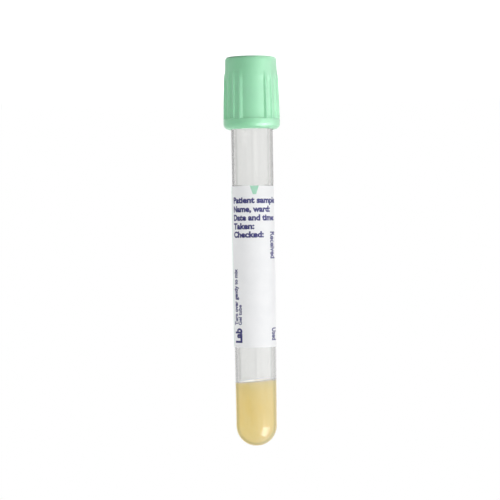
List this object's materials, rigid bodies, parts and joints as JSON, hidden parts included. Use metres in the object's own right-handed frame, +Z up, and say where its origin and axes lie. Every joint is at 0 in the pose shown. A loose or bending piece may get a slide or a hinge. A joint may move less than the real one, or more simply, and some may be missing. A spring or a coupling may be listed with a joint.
{
  "type": "blood collection tube",
  "caption": "Clear round-ended tube with a slanted plug of separator gel, a wrapped label and a ribbed pull-off safety closure over a rubber stopper, standing on its closure.",
  "frame": {"origin": "middle of the closure's top face, on which the tube stands", "axes": "+Z up the tube's axis, from the closure's top face to the rounded end; -Y out of the label's front; -X to the right of the label when it is read with the closure uppermost"},
  "size_m": [0.0164, 0.0164, 0.112],
  "materials": {
    "clear_plastic": "clear moulded PET, glossy",
    "mint_plastic": "satin moulded, opaque",
    "stopper_rubber": "smooth grey rubber",
    "label_film": "white printed film",
    "gel": "cloudy amber gel"
  },
  "bodies": {
    "closure": {"closure_shield": "mint_plastic", "stopper": "stopper_rubber"},
    "tube": {"tube": "clear_plastic", "label": "label_film", "separator_gel": "gel"}
  },
  "joints": [
    {"name": "tube_pull", "type": "slide", "parent": "closure", "child": "tube", "axis": [0, 0, 1], "range_m": [0, 0.03]}
  ]
}
